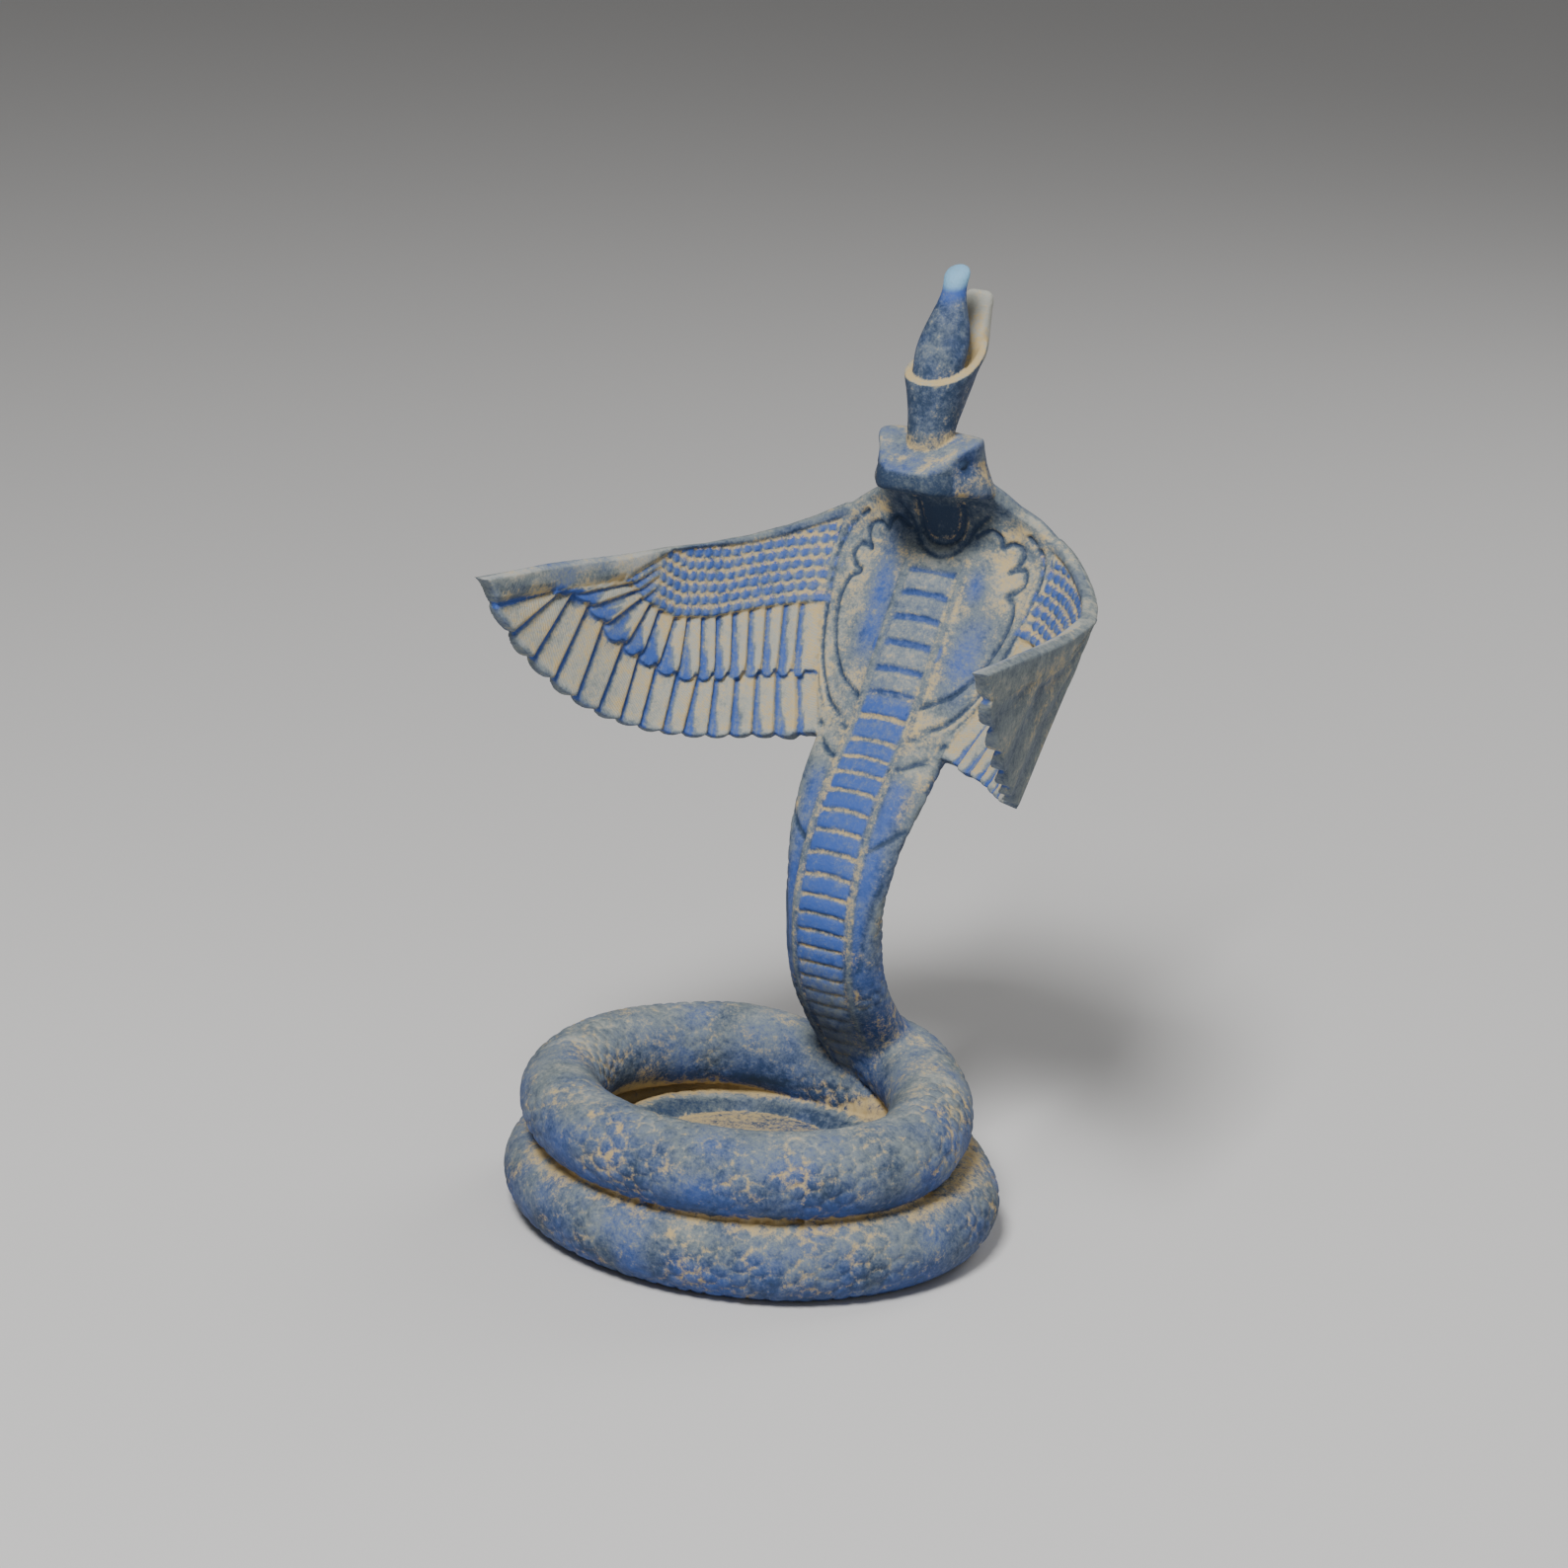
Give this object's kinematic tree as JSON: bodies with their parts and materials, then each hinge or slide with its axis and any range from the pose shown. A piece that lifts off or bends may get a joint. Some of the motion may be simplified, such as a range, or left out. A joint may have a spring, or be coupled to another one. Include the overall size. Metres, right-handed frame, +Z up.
{
  "type": "serpent statuette",
  "caption": "Statuette of a rearing winged cobra on a double coil, with feathered wings swept forward and a tall crown on its flat head.",
  "frame": {"origin": "centre of the coil's flat underside, on the ground", "axes": "+Z up, the serpent faces -Y, its wings spread along X and sweep towards -Y"},
  "size_m": [0.1498, 0.1426, 0.24],
  "materials": {
    "blue_stone": "matt deep blue with sandy dust in the carving"
  },
  "bodies": {
    "root": {"winged_cobra": "blue_stone"}
  },
  "joints": []
}
